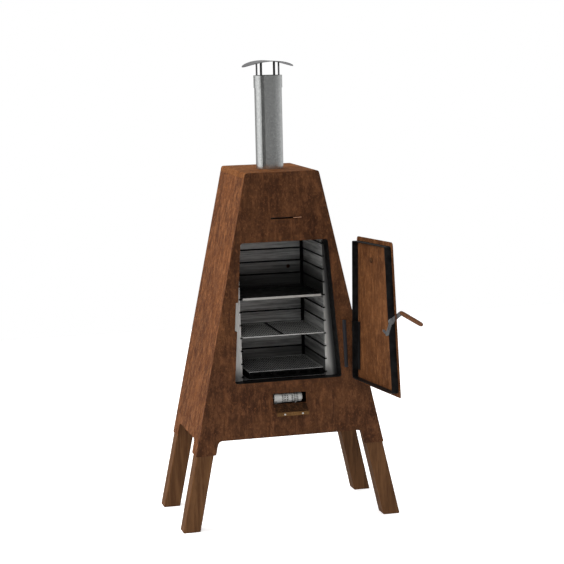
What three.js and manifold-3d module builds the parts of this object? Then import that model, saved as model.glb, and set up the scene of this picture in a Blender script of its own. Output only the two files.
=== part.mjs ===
// Free-standing vertical smoker: a raked weathering-steel cabinet on four timber legs, with a steel
// firebox liner, sliding shelves, a hinged door with a turning latch, a draft flap, a sliding damper
// and a capped flue. Millimetres, +Z up, front towards -Y, stored with the door swung open.
import * as THREE from "three";
import { mergeVertices } from "three/addons/utils/BufferGeometryUtils.js";
import Module from "manifold-3d";

const wasm = await Module();
wasm.setup();

// ---- driving dimensions -------------------------------------------------------------------------
const BODY_HEIGHT = 1530;
const TOP_HALF = 162.5; // half of the cabinet's width at its top
const SIDE_SLOPE = 0.215; // half-width gained per mm downwards
const FRONT_RAKE = 0.044; // how far the front comes forward per mm downwards
const DEPTH = 450; // cabinet depth at its top
const SHEET = 3;
const GAP = 0.3; // clearance between touching pieces
const TAB_BOTTOM = 328; // lower end of the corner tabs that clasp the legs
const HEM = 388; // lower edge of the panels between the tabs
const TAB_WIDTH = 88;
const BEND = 12; // radius of the bends between the top and the sides
const LEG_X = 75;
const LEG_Y = 74;
const LEG_TOP = 462;

const OPEN_TOP = { s: 1234, half: 193.6 }; // door opening, on the front plane
const OPEN_FOOT = { s: 630, half: 238.8 };
const OPEN_RADIUS = 12;
const FRAME_DEPTH = 75; // depth of the black frame that lines the opening
const LINER = 2;
const CHAMBER_HALF = 187.5;
const CHAMBER_BACK = 396;
const CHAMBER_FLOOR = 630;
const CHAMBER_TOP = 1270;
const ROD = 3; // shelf rod radius
const ROD_X = 184.2;
const ROD_Y = 389;
const ROD_FIRST = 1206;
const ROD_PITCH = 56.2;
const ROD_COUNT = 11;
const PAN_LEVEL = 4; // which rod carries the drip pan, from the top
const GRATE_LEVEL = 7;
const SHELF_HALF = 176;
const BASKET_OFFSET = 10; // the basket stands this far right of the middle
const SHELF_FRONT = 70; // depth of the shelves' front edge behind the front plane

const FLUE_Y = 210;
const FLUE_RADIUS = 60;
const FLUE_WALL = 2;
const FLUE_TOP = 1934;
const COLLAR_BOTTOM = 1881;
const CAP_PEAK = 1998;
const CAP_HALF = 113;
const CAP_RISE = 25;
const DAMPER_Z = 1333;
const SLOT = { left: -57, right: 79, height: 7 };

const WINDOW = { half: 74, low: 531, high: 577 };
const FLAP_LENGTH = 50;
const FLAP_DROP = 29; // degrees below level where the open flap rests

const HINGE = { x: 295.5, y: -10.6, low: 671, high: 880, radius: 7.8 };
const DOOR_OPEN = 92.9; // degrees from closed to the stored pose
const DOOR_OVERLAP = 15;
const DOOR_FACE = -8; // outer face of the closed door, measured from the front plane
const RIM_GAP = 2; // between the door's rim and the opening
const RIM_DEPTH = 23.4; // how far the rim reaches behind the front plane
const NOTCH = { low: -71, high: 53, depth: 10 }; // relief for the latch, about the latch's height
const LATCH = { y: 12, s: 928 }; // latch pivot, on the free side of the rim
const RIB = { x: 259.3, radius: 8, lean: 0.0225 }; // half-round bar: foot, radius, run inwards per height
const REAR_HOLE = { x: 123, z: 1066, radius: 9 };
const GAUGE = { x: 25, s: 1159, radius: 10 };

// ---- materials ----------------------------------------------------------------------------------
const finish = (color, metalness, roughness) =>
  new THREE.MeshStandardMaterial({ color, metalness, roughness });
const RUST = finish(0x6b412c, 0.2, 0.85);
const ENAMEL = finish(0x141516, 0.3, 0.5);
const LINER_STEEL = finish(0x8b8d8c, 0.8, 0.45);
const WIRE = finish(0x1a1a1b, 0.5, 0.5);
const ZINC = finish(0xa9adab, 0.9, 0.35);
const STAINLESS = finish(0xb9b6b0, 0.9, 0.35);
const TIMBER = finish(0x80543a, 0, 0.75);
const GRIP_WOOD = finish(0x6e4429, 0, 0.6);

// ---- helpers ------------------------------------------------------------------------------------
const rake = Math.atan(FRONT_RAKE);
const sideLean = Math.atan(SIDE_SLOPE);
const degrees = THREE.MathUtils.degToRad;
const halfWidth = (z) => TOP_HALF + SIDE_SLOPE * (BODY_HEIGHT - z);
const frontY = (z) => -FRONT_RAKE * (BODY_HEIGHT - z);
const openHalf = (s) =>
  OPEN_FOOT.half + ((s - OPEN_FOOT.s) * (OPEN_TOP.half - OPEN_FOOT.half)) / (OPEN_TOP.s - OPEN_FOOT.s);

function toSolid(geometry) {
  const g = geometry.clone();
  g.deleteAttribute("normal");
  g.deleteAttribute("uv");
  const merged = mergeVertices(g, 1e-4);
  return new wasm.Manifold(
    new wasm.Mesh({
      numProp: 3,
      vertProperties: new Float32Array(merged.attributes.position.array),
      triVerts: new Uint32Array(merged.index.array),
    }),
  );
}

function toGeometry(solid) {
  const mesh = solid.getMesh();
  const g = new THREE.BufferGeometry();
  g.setAttribute("position", new THREE.BufferAttribute(new Float32Array(mesh.vertProperties), 3));
  g.setIndex(new THREE.BufferAttribute(new Uint32Array(mesh.triVerts), 1));
  g.computeVertexNormals();
  return g;
}

const joined = (pieces) => toGeometry(pieces.map(toSolid).reduce((all, piece) => all.add(piece)));
const cut = (body, tools) =>
  toGeometry(tools.map(toSolid).reduce((left, tool) => left.subtract(tool), toSolid(body)));

// A closed outline through [x, y, radius] corners, each rounded with its own radius.
function outline(corners, Kind = THREE.Shape) {
  const path = new Kind();
  const n = corners.length;
  corners.forEach(([x, y, r = 0], i) => {
    const here = new THREE.Vector2(x, y);
    const before = new THREE.Vector2(...corners[(i + n - 1) % n].slice(0, 2)).sub(here);
    const after = new THREE.Vector2(...corners[(i + 1) % n].slice(0, 2)).sub(here);
    const half = Math.abs(before.angleTo(after)) / 2;
    const reach = r ? r / Math.tan(half) : 0;
    const a = before.setLength(reach || 1e-9).add(here);
    const b = after.setLength(reach || 1e-9).add(here);
    if (i === 0) path.moveTo(r ? a.x : x, r ? a.y : y);
    else path.lineTo(r ? a.x : x, r ? a.y : y);
    if (r) path.quadraticCurveTo(x, y, b.x, b.y);
  });
  path.closePath();
  return path;
}

const rectangle = (x0, y0, x1, y1, r = 0, Kind = THREE.Shape) =>
  outline([[x0, y0, r], [x1, y0, r], [x1, y1, r], [x0, y1, r]], Kind);

function disc(x, y, radius, Kind = THREE.Path) {
  const path = new Kind();
  path.absarc(x, y, radius, 0, 2 * Math.PI, false);
  return path;
}

function withHoles(shape, holes) {
  shape.holes.push(...holes);
  return shape;
}

const extrude = (shape, depth, segments = 4) =>
  new THREE.ExtrudeGeometry(shape, { depth, bevelEnabled: false, curveSegments: segments });

// A sheet standing in the XZ plane from y0 to y1, its outline given as (x, height).
const standing = (shape, y0, y1, segments = 4) =>
  extrude(shape, y1 - y0, segments).rotateX(Math.PI / 2).translate(0, y1, 0);

// A level sheet from z0 to z1, its outline given as (x, y).
const level = (shape, z0, z1, segments = 4) => extrude(shape, z1 - z0, segments).translate(0, 0, z0);

// A profile given as (y, height), carried along X from x0 to x1.
const across = (shape, x0, x1, segments = 4) =>
  extrude(shape, x1 - x0, segments)
    .applyMatrix4(new THREE.Matrix4().makeBasis(
      new THREE.Vector3(0, 1, 0), new THREE.Vector3(0, 0, 1), new THREE.Vector3(1, 0, 0)))
    .translate(x0, 0, 0);

function box(x0, x1, y0, y1, z0, z1) {
  return new THREE.BoxGeometry(x1 - x0, y1 - y0, z1 - z0)
    .translate((x0 + x1) / 2, (y0 + y1) / 2, (z0 + z1) / 2);
}

// A round bar of the given radius between two points.
function bar(from, to, radius, sides = 8) {
  const a = new THREE.Vector3(...from);
  const b = new THREE.Vector3(...to);
  const axis = b.clone().sub(a);
  const up = new THREE.Vector3(0, 1, 0);
  const turn = new THREE.Quaternion().setFromUnitVectors(up, axis.clone().normalize());
  return new THREE.CylinderGeometry(radius, radius, axis.length(), sides)
    .applyQuaternion(turn)
    .translate(...a.add(b).multiplyScalar(0.5));
}

// A vertical tube about (x, y).
function tube(x, y, z0, z1, outer, wall, segments = 48) {
  const profile = [[outer - wall, z0], [outer, z0], [outer, z1], [outer - wall, z1], [outer - wall, z0]];
  return new THREE.LatheGeometry(profile.map((p) => new THREE.Vector2(...p)), segments)
    .rotateX(Math.PI / 2)
    .translate(x, y, 0);
}

function mirrored(geometry) {
  const g = geometry.index ? geometry.toNonIndexed() : geometry.clone();
  g.scale(-1, 1, 1);
  const p = g.attributes.position.array;
  for (let t = 0; t < p.length; t += 9) {
    for (let k = 0; k < 3; k += 1) [p[t + 3 + k], p[t + 6 + k]] = [p[t + 6 + k], p[t + 3 + k]];
  }
  g.computeVertexNormals();
  return g;
}

// ---- groups -------------------------------------------------------------------------------------
// The front group's own axes are x, depth behind the front plane, and height along the front plane.
const smoker = new THREE.Group();
const front = new THREE.Group();
front.position.y = frontY(0);
front.rotation.x = -rake;
smoker.add(front);

// The door is drawn closed, in the front group's axes, and turned about its hinge pin.
const doorPivot = new THREE.Group();
doorPivot.position.set(HINGE.x, HINGE.y, 0);
doorPivot.rotation.z = degrees(DOOR_OPEN);
const door = new THREE.Group();
door.position.set(-HINGE.x, -HINGE.y, 0);
doorPivot.add(door);
front.add(doorPivot);

function place(name, geometry, material, parent = smoker) {
  const mesh = new THREE.Mesh(geometry, material);
  mesh.name = name;
  parent.add(mesh);
  return mesh;
}

// ---- cabinet ------------------------------------------------------------------------------------
function panelCorners(half, top, scale = 1, bend = 0) {
  const foot = half(TAB_BOTTOM);
  const inner = (z) => half(z) - TAB_WIDTH;
  return [
    [foot, TAB_BOTTOM * scale, 3], [half(top), top * scale, bend],
    [-half(top), top * scale, bend], [-foot, TAB_BOTTOM * scale, 3],
    [-inner(TAB_BOTTOM), TAB_BOTTOM * scale, 6], [-inner(HEM), HEM * scale, 22],
    [inner(HEM), HEM * scale, 22], [inner(TAB_BOTTOM), TAB_BOTTOM * scale, 6],
  ];
}

const openingPath = (grow = 0, Kind = THREE.Path, radius = OPEN_RADIUS) => {
  const top = OPEN_TOP.s + grow;
  const foot = OPEN_FOOT.s - grow;
  return outline([
    [openHalf(foot) + grow, foot, radius], [openHalf(top) + grow, top, radius],
    [-openHalf(top) - grow, top, radius], [-openHalf(foot) - grow, foot, radius],
  ], Kind);
};

// Puts a shape drawn about the latch's height on the sloping left edge of the opening: its x is
// measured inwards from that edge, its z along it.
const jambLean = Math.atan((OPEN_FOOT.half - OPEN_TOP.half) / (OPEN_TOP.s - OPEN_FOOT.s));
const jambFrame = (geometry) => geometry.rotateY(jambLean).translate(-openHalf(LATCH.s), 0, LATCH.s);

function frontPanel() {
  const shape = outline(panelCorners(halfWidth, BODY_HEIGHT, 1 / Math.cos(rake), BEND));
  const slot = rectangle(SLOT.left, DAMPER_Z - SLOT.height / 2 + 1, SLOT.right,
    DAMPER_Z + SLOT.height / 2 + 1, 1.5, THREE.Path);
  const window = rectangle(-WINDOW.half, WINDOW.low, WINDOW.half, WINDOW.high, 3, THREE.Path);
  const panel = standing(withHoles(shape, [openingPath(), window, slot]), 0, SHEET);
  return cut(panel, [jambFrame(box(-NOTCH.depth, 5, -5, 10, NOTCH.low, NOTCH.high))]);
}

function sidePanel() {
  // Drawn as (y, height up the slope) and stood on the right-hand side plane.
  const up = (z) => z / Math.cos(sideLean);
  const back = DEPTH - SHEET - GAP;
  const ahead = (z) => frontY(z) + SHEET + GAP;
  const top = BODY_HEIGHT - 2 * BEND - 0.8;
  const shape = outline([
    [ahead(TAB_BOTTOM), up(TAB_BOTTOM), 2], [ahead(TAB_BOTTOM) + TAB_WIDTH, up(TAB_BOTTOM), 6],
    [ahead(HEM) + TAB_WIDTH, up(HEM), 22], [back - TAB_WIDTH, up(HEM), 22],
    [back - TAB_WIDTH, up(TAB_BOTTOM), 6], [back, up(TAB_BOTTOM), 2],
    [back, up(top)], [ahead(top), up(top)],
  ]);
  const basis = new THREE.Matrix4().makeBasis(
    new THREE.Vector3(0, 1, 0),
    new THREE.Vector3(-Math.sin(sideLean), 0, Math.cos(sideLean)),
    new THREE.Vector3(Math.cos(sideLean), 0, Math.sin(sideLean)),
  );
  const offset = halfWidth(0) - SHEET / Math.cos(sideLean);
  return extrude(shape, SHEET).applyMatrix4(basis).translate(offset, 0, 0);
}

function topPanel() {
  // A flat lid with both edges bent down to meet the side panels, pierced for the flue.
  const low = BODY_HEIGHT - 2 * BEND + GAP;
  const outer = [[halfWidth(low), low], [TOP_HALF, BODY_HEIGHT, BEND], [-TOP_HALF, BODY_HEIGHT, BEND],
    [-halfWidth(low), low]];
  const t = SHEET / Math.cos(sideLean);
  const inner = [[-halfWidth(low) + t, low], [-TOP_HALF + t, BODY_HEIGHT - SHEET, BEND - SHEET],
    [TOP_HALF - t, BODY_HEIGHT - SHEET, BEND - SHEET], [halfWidth(low) - t, low]];
  const lid = standing(outline([...outer, ...inner]), SHEET + GAP, DEPTH - SHEET - GAP);
  const bore = bar([0, FLUE_Y, BODY_HEIGHT - 20], [0, FLUE_Y, BODY_HEIGHT + 20], FLUE_RADIUS + 0.4, 48);
  return cut(lid, [bore]);
}

function legGeometry(sideways, atBack) {
  // A square post sheared to follow the side and front panels, cut level at both ends.
  const outer = (z) => halfWidth(z) - SHEET / Math.cos(sideLean) - GAP;
  const near = (z) => (atBack ? DEPTH - SHEET - GAP - LEG_Y : frontY(z) + SHEET / Math.cos(rake) + GAP);
  const post = new THREE.BoxGeometry(1, 1, 1, 1, 1, 1);
  const p = post.attributes.position;
  for (let i = 0; i < p.count; i += 1) {
    const z = p.getZ(i) < 0 ? 0 : LEG_TOP;
    const x = outer(z) - (p.getX(i) < 0 ? LEG_X : 0);
    p.setXYZ(i, x, near(z) + (p.getY(i) < 0 ? 0 : LEG_Y), z);
  }
  return sideways < 0 ? mirrored(post) : post;
}

function buildCabinet() {
  place("front_panel", frontPanel(), RUST, front);
  place("right_panel", sidePanel(), RUST);
  place("left_panel", mirrored(sidePanel()), RUST);
  const rear = outline(panelCorners(halfWidth, BODY_HEIGHT, 1, BEND));
  place("back_panel", standing(rear, DEPTH - SHEET, DEPTH), RUST);
  place("top_panel", topPanel(), RUST);
  const floorZ = LEG_TOP + 4;
  const floorHalf = halfWidth(floorZ + SHEET) - SHEET / Math.cos(sideLean) - 1;
  place("floor_panel", box(-floorHalf, floorHalf, frontY(floorZ) + SHEET + 1, DEPTH - SHEET - 1, floorZ,
    floorZ + SHEET), RUST);
  for (const [side, sign] of [["left", -1], ["right", 1]]) {
    place(`front_${side}_leg`, legGeometry(sign, false), TIMBER);
    place(`rear_${side}_leg`, legGeometry(sign, true), TIMBER);
  }
}

// ---- firebox liner ------------------------------------------------------------------------------
function doorFrame() {
  const ring = withHoles(openingPath(SHEET, THREE.Shape, OPEN_RADIUS + SHEET), [openingPath()]);
  const body = standing(ring, SHEET + GAP, FRAME_DEPTH);
  return cut(body, [jambFrame(box(-8, 5, 0, FRAME_DEPTH - 5, NOTCH.low, NOTCH.high))]);
}

function linerFace() {
  const low = OPEN_FOOT.s - 12;
  const high = CHAMBER_TOP + 4;
  const shape = outline([[openHalf(low) + 16, low], [openHalf(high) + 16, high], [-openHalf(high) - 16, high],
    [-openHalf(low) - 16, low]]);
  const hole = rectangle(-CHAMBER_HALF, CHAMBER_FLOOR - 2, CHAMBER_HALF, CHAMBER_TOP - 6, 0, THREE.Path);
  return standing(withHoles(shape, [hole]), FRAME_DEPTH + GAP, FRAME_DEPTH + GAP + LINER);
}

function linerSide() {
  const ahead = (z) => frontY(z) + FRAME_DEPTH + LINER + 1.2;
  const shape = outline([[ahead(CHAMBER_FLOOR), CHAMBER_FLOOR + GAP], [CHAMBER_BACK, CHAMBER_FLOOR + GAP],
    [CHAMBER_BACK, CHAMBER_TOP - GAP], [ahead(CHAMBER_TOP), CHAMBER_TOP - GAP]]);
  return across(shape, CHAMBER_HALF, CHAMBER_HALF + LINER);
}

function linerFloor() {
  const wide = CHAMBER_HALF + LINER;
  const y0 = frontY(CHAMBER_FLOOR) + FRAME_DEPTH + LINER + 4;
  const slots = [-2, -1, 0, 1, 2].map((i) =>
    rectangle(i * 56 - 5, y0 + 70, i * 56 + 5, CHAMBER_BACK - 70, 4, THREE.Path));
  const sheet = rectangle(-wide, y0, wide, CHAMBER_BACK + LINER);
  return level(withHoles(sheet, slots), CHAMBER_FLOOR - LINER, CHAMBER_FLOOR);
}

function linerCeiling() {
  const wide = CHAMBER_HALF + LINER;
  const y0 = frontY(CHAMBER_TOP) + FRAME_DEPTH + LINER + 4;
  const sheet = rectangle(-wide, y0, wide, CHAMBER_BACK + LINER);
  return level(withHoles(sheet, [disc(0, FLUE_Y, FLUE_RADIUS + 0.4)]), CHAMBER_TOP, CHAMBER_TOP + LINER, 12);
}

const rodHeights = Array.from({ length: ROD_COUNT }, (_, i) => ROD_FIRST - i * ROD_PITCH);

function sideRack() {
  // Rods from just ahead of the liner face to the rear corner, tied by a thin upright behind them.
  const rods = rodHeights.map((z) =>
    bar([ROD_X, frontY(z) + FRAME_DEPTH - 6, z], [ROD_X, ROD_Y - 10, z], ROD));
  const hooks = rodHeights.map((z) => {
    const y = frontY(z) + FRAME_DEPTH - ROD - 1;
    return bar([ROD_X - 1, y, z], [ROD_X + 8.5, y, z], ROD - 0.2);
  });
  const tie = bar([ROD_X, ROD_Y - 16, CHAMBER_FLOOR + 5], [ROD_X, ROD_Y - 16, ROD_FIRST + 8], 2);
  return joined([...rods, ...hooks, tie]);
}

function rearRack() {
  const rods = rodHeights.map((z) => bar([-ROD_X + 2, ROD_Y, z], [ROD_X - 2, ROD_Y, z], ROD));
  const posts = [-1, 1].map((side) =>
    bar([side * (ROD_X - 2), ROD_Y, CHAMBER_FLOOR + 3], [side * (ROD_X - 2), ROD_Y, CHAMBER_TOP - 12], 4.8));
  return joined([...rods, ...posts]);
}

function buildLiner() {
  place("door_frame", doorFrame(), ENAMEL, front);
  place("liner_face", linerFace(), LINER_STEEL, front);
  place("liner_right", linerSide(), LINER_STEEL);
  place("liner_left", mirrored(linerSide()), LINER_STEEL);
  const wide = CHAMBER_HALF + LINER;
  const hole = disc(REAR_HOLE.x, REAR_HOLE.z, REAR_HOLE.radius);
  const back = withHoles(rectangle(-wide, CHAMBER_FLOOR + GAP, wide, CHAMBER_TOP - GAP), [hole]);
  place("liner_back", standing(back, CHAMBER_BACK + GAP, CHAMBER_BACK + GAP + LINER), LINER_STEEL);
  place("liner_floor", linerFloor(), LINER_STEEL);
  place("liner_ceiling", linerCeiling(), LINER_STEEL);
  place("rack_right", sideRack(), WIRE);
  place("rack_left", mirrored(sideRack()), WIRE);
  place("rack_rear", rearRack(), WIRE);
}

// ---- shelves ------------------------------------------------------------------------------------
const shelfFront = (z) => frontY(z) + SHELF_FRONT;
const SHELF_BACK = ROD_Y - ROD - 18;

// A shallow tray hung between the rods by its two side rims. The floor may be pierced.
function hungTray(rodZ, drop, holes) {
  const rim = rodZ + ROD + GAP;
  const wall = 2;
  const y0 = shelfFront(rodZ);
  const body = box(-SHELF_HALF, SHELF_HALF, y0, SHELF_BACK, rim - drop, rim + 1.6);
  const rims = box(-SHELF_HALF - 9, SHELF_HALF + 9, y0 + 4, SHELF_BACK, rim, rim + 1.6);
  const inside = SHELF_HALF - wall;
  const hollow = box(-inside, inside, y0 + wall, SHELF_BACK - wall, rim - drop + wall, rim + 5);
  return cut(joined([body, rims]), [hollow, ...holes(rim - drop, y0)]);
}

// A field of diamond holes in rows and columns.
function diamonds(x0, x1, y0, y1, columns, rows, z0, z1) {
  const tools = [];
  const dx = (x1 - x0) / columns;
  const dy = (y1 - y0) / rows;
  for (let i = 0; i < columns; i += 1) {
    for (let j = 0; j < rows; j += 1) {
      const x = x0 + (i + 0.5) * dx;
      const y = y0 + (j + 0.5) * dy;
      const a = dx / 2 - 4;
      const b = dy / 2 - 4;
      tools.push(level(outline([[x - a, y], [x, y - b], [x + a, y], [x, y + b]]), z0, z1));
    }
  }
  return tools;
}

function charcoalBasket() {
  const half = 168;
  const y0 = frontY(645) + 80;
  const y1 = 350;
  const low = CHAMBER_FLOOR + GAP;
  const high = 660;
  const wall = 2;
  const x0 = BASKET_OFFSET - half;
  const x1 = BASKET_OFFSET + half;
  const body = box(x0, x1, y0, y1, low, high);
  const hollow = box(x0 + wall, x1 - wall, y0 + wall, y1 - wall, low + wall, high + 5);
  const ovals = [-5, -3, -1, 1, 3, 5].map((i) => {
    const x = BASKET_OFFSET + i * 26;
    return standing(rectangle(x - 18, low + 9, x + 18, high - 7, 5), y0 - 5, y0 + 5);
  });
  return { basket: cut(body, [hollow, ...ovals]), x0, x1, y0, y1, high };
}

function buildShelves() {
  const panZ = ROD_FIRST - PAN_LEVEL * ROD_PITCH;
  const grateZ = ROD_FIRST - GRATE_LEVEL * ROD_PITCH;
  place("drip_pan", hungTray(panZ, 8, () => []), ENAMEL);
  const mesh = (z, y0) =>
    diamonds(-SHELF_HALF + 6, SHELF_HALF - 6, y0 + 6, SHELF_BACK - 6, 7, 7, z - 2, z + 4);
  place("food_grate", hungTray(grateZ, 8, mesh), STAINLESS);
  const { basket, x0, x1, y0, y1, high } = charcoalBasket();
  place("charcoal_basket", basket, WIRE);
  const lid = box(x0, x1, y0, y1, high + GAP, high + 3);
  place("charcoal_grate", cut(lid, diamonds(x0 + 6, x1 - 6, y0 + 6, y1 - 6, 7, 6, high, high + 5)), WIRE);
}

// ---- flue and damper ----------------------------------------------------------------------------
function capSheet() {
  // A round sheet rolled to a shallow arc about the front-to-back axis.
  const radius = (CAP_HALF ** 2 + CAP_RISE ** 2) / (2 * CAP_RISE);
  const reach = Math.asin(CAP_HALF / radius);
  const arc = (r, from, to) =>
    Array.from({ length: 17 }, (_, i) => {
      const a = from + ((to - from) * i) / 16;
      return [r * Math.sin(a), CAP_PEAK - radius + r * Math.cos(a)];
    });
  const shape = outline([...arc(radius, reach, -reach), ...arc(radius - 2, -reach, reach)]);
  const sheet = standing(shape, FLUE_Y - CAP_HALF, FLUE_Y + CAP_HALF);
  const past = CAP_HALF + 2;
  const square = rectangle(-past, FLUE_Y - past, past, FLUE_Y + past);
  const corners = withHoles(square, [disc(0, FLUE_Y, CAP_HALF - 1)]);
  return cut(sheet, [level(corners, CAP_PEAK - 2 * CAP_RISE, CAP_PEAK + 5, 40)]);
}

function buildFlue() {
  place("flue_pipe", tube(0, FLUE_Y, DAMPER_Z + 5, FLUE_TOP, FLUE_RADIUS, FLUE_WALL), ZINC);
  place("flue_collar", tube(0, FLUE_Y, COLLAR_BOTTOM, FLUE_TOP + 1, FLUE_RADIUS + 2.6, 2.2), ZINC);
  const spread = FLUE_RADIUS - FLUE_WALL - 2.3;
  const under = CAP_PEAK - 2 - 0.5;
  const radius = (CAP_HALF ** 2 + CAP_RISE ** 2) / (2 * CAP_RISE);
  const corners = { rear_right: 45, rear_left: 135, front_left: 225, front_right: 315 };
  for (const [name, angle] of Object.entries(corners)) {
    const x = spread * Math.cos(degrees(angle));
    const top = under - (radius - Math.sqrt(radius ** 2 - (Math.abs(x) + 5) ** 2));
    const post = box(-1.5, 1.5, -5, 5, FLUE_TOP - 60, top).rotateZ(degrees(angle))
      .translate(x, FLUE_Y + spread * Math.sin(degrees(angle)), 0);
    place(`cap_post_${name}`, post, ZINC);
  }
  place("flue_cap", capSheet(), ZINC);
  const spigot = tube(0, FLUE_Y, CHAMBER_TOP + LINER + GAP, DAMPER_Z - 5, FLUE_RADIUS, FLUE_WALL);
  place("flue_spigot", spigot, LINER_STEEL);
}

function buildDamper() {
  // One flat plate: a lever through the front slot, a cross arm, and the blade beside the flue.
  const lever = { left: SLOT.right - 35, right: SLOT.right - 1 };
  const shape = outline([
    [lever.left, -16, 2], [lever.right, -16, 2], [lever.right, 60], [190, 60, 4], [190, 290, 4], [64, 290, 4],
    [64, 100], [lever.left, 100],
  ]);
  place("damper_plate", level(shape, DAMPER_Z - 1.2, DAMPER_Z + 1.2), LINER_STEEL);
  const span = halfWidth(DAMPER_Z) - SHEET / Math.cos(sideLean) - 2;
  for (const [name, y] of [["front", 76], ["rear", 284]]) {
    place(`damper_rail_${name}`, box(-span, span, y - 5, y + 5, DAMPER_Z - 9, DAMPER_Z - 1.5), LINER_STEEL);
  }
}

// ---- draft window -------------------------------------------------------------------------------
const FLAP_AXIS = { y: -5, s: 525 };

function flapGeometry() {
  // Profile (y, height): a rolled eye round the pin, a plate hanging outwards and a lip turned down.
  const down = degrees(FLAP_DROP);
  const t = 2;
  const dir = new THREE.Vector2(-Math.cos(down), -Math.sin(down));
  const up = new THREE.Vector2(-dir.y, dir.x).multiplyScalar(-1);
  const at = (along, rise) => [dir.x * along + up.x * rise, dir.y * along + up.y * rise];
  const tip = at(FLAP_LENGTH, 0);
  const plate = outline([at(2.6, -t / 2), at(FLAP_LENGTH, -t / 2), at(FLAP_LENGTH, t / 2), at(2.6, t / 2)]);
  const lip = rectangle(tip[0] - t / 2, tip[1] - 15, tip[0] + t / 2, tip[1] + 1);
  const half = WINDOW.half - 3;
  const eye = bar([-half, 0, 0], [half, 0, 0], 3.6, 20);
  const body = joined([eye, across(plate, -half, half), across(lip, -half, half)]);
  return cut(body, [bar([-half - 5, 0, 0], [half + 5, 0, 0], 1.9, 20)]);
}

function buildDraft() {
  const flap = new THREE.Group();
  flap.position.set(0, FLAP_AXIS.y, FLAP_AXIS.s);
  front.add(flap);
  place("draft_flap", flapGeometry(), RUST, flap);
  const half = WINDOW.half - 3;
  const down = degrees(FLAP_DROP);
  const face = -FLAP_LENGTH * Math.cos(down) - 1;
  const lipTop = -FLAP_LENGTH * Math.sin(down) + 1;
  const strip = box(-half, half, face - 3.3, face - GAP, lipTop - 16, lipTop - 0.5);
  const bores = [-36, 43].map((x) => bar([x, face - 10, lipTop - 9], [x, face + 3, lipTop - 9], 2.3, 12));
  place("flap_pull", cut(strip, bores), RUST, flap);
  for (const [name, x] of [["left", -36], ["right", 43]]) {
    const head = bar([x, face - 5.4, lipTop - 9], [x, face - 3.6, lipTop - 9], 3.6, 14);
    const shank = bar([x, face - 4, lipTop - 9], [x, face - GAP, lipTop - 9], 2, 12);
    place(`flap_screw_${name}`, joined([head, shank]), STAINLESS, flap);
  }
  place("flap_pin", bar([-half - 7, 0, 0], [half + 7, 0, 0], 1.6, 12), STAINLESS, flap);
  for (const [name, side] of [["left", -1], ["right", 1]]) {
    const x = side * (half + 4);
    const ear = box(x - 1.5, x + 1.5, FLAP_AXIS.y - 4, -GAP, FLAP_AXIS.s - 4, FLAP_AXIS.s + 4);
    const eye = bar([x - 3, FLAP_AXIS.y, FLAP_AXIS.s], [x + 3, FLAP_AXIS.y, FLAP_AXIS.s], 1.9, 12);
    place(`flap_ear_${name}`, cut(ear, [eye]), RUST, front);
  }
}

function buildSmokeTube() {
  // A short tube lying across the window: plain sleeve, perforated barrel and a domed end.
  const z = 550;
  const y = frontY(z) + 30;
  const r = 21.5;
  const lay = (g) => g.rotateZ(-Math.PI / 2).translate(0, y, z);
  const ring = (x0, x1, outer, wall) => {
    const pts = [[outer - wall, x0], [outer, x0], [outer, x1], [outer - wall, x1], [outer - wall, x0]];
    return lay(new THREE.LatheGeometry(pts.map((p) => new THREE.Vector2(...p)), 32));
  };
  place("smoke_tube", ring(-66, 53, r, 1.5), STAINLESS);
  place("tube_sleeve", ring(-63, -33, r + 2.2, 1.9), STAINLESS);
  const dome = [[0, 45], [r - 1.9, 45], [r - 1.9, 53.3], [r, 53.3], [r - 2, 59], [r - 9, 63], [0, 64]];
  place("tube_cap", lay(new THREE.LatheGeometry(dome.map((p) => new THREE.Vector2(...p)), 32)), STAINLESS);
  // The cradle stands on the cabinet floor and holds the tube at both ends.
  const floorTop = LEG_TOP + 4 + SHEET + GAP;
  const foot = box(-62, 62, y - 26, y + 26, floorTop, floorTop + 3);
  const plates = [-60.5, 26].map((x) => box(x, x + 3, y - 26, y + 26, floorTop, z - 8));
  const saddle = bar([-90, y, z], [90, y, z], r + 2.2 + GAP, 32);
  place("tube_cradle", cut(joined([foot, ...plates]), [saddle]), LINER_STEEL);
}

// ---- door ---------------------------------------------------------------------------------------
const doorHalf = (s) => openHalf(s) + DOOR_OVERLAP;

function doorPath(inset, topRadius, footRadius, Kind = THREE.Shape) {
  const top = OPEN_TOP.s + DOOR_OVERLAP - inset - 1;
  const foot = OPEN_FOOT.s - DOOR_OVERLAP + inset + 1;
  return outline([
    [doorHalf(foot) - inset, foot, footRadius], [doorHalf(top) - inset, top, topRadius],
    [-doorHalf(top) + inset, top, topRadius], [-doorHalf(foot) + inset, foot, footRadius],
  ], Kind);
}

function doorRim() {
  const inset = DOOR_OVERLAP + RIM_GAP;
  const ring = withHoles(doorPath(inset, 12, 12), [doorPath(inset + SHEET, 9, 9, THREE.Path)]);
  const body = standing(ring, DOOR_FACE + SHEET + GAP, RIM_DEPTH);
  return cut(body, [jambFrame(bar([-10, LATCH.y, 0], [20, LATCH.y, 0], 4.3, 20))]);
}

function hingeArm(z0, z1) {
  // Plan view: an eye on the pin, a strap standing clear of the hinge rib, and a foot on the door.
  const out = -16.6;
  const t = 4;
  const foot = DOOR_FACE - GAP;
  const strap = outline([
    [HINGE.x, out], [250, out, 3], [236, foot - t, 3], [178, foot - t, 1], [178, foot], [238, foot, 3],
    [251, out + t, 3], [HINGE.x, out + t],
  ]);
  const eye = bar([HINGE.x, HINGE.y, z0], [HINGE.x, HINGE.y, z1], HINGE.radius, 24);
  const bore = bar([HINGE.x, HINGE.y, z0 - 5], [HINGE.x, HINGE.y, z1 + 5], 4.3, 20);
  return cut(joined([level(strap, z0, z1), eye]), [bore]);
}

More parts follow.
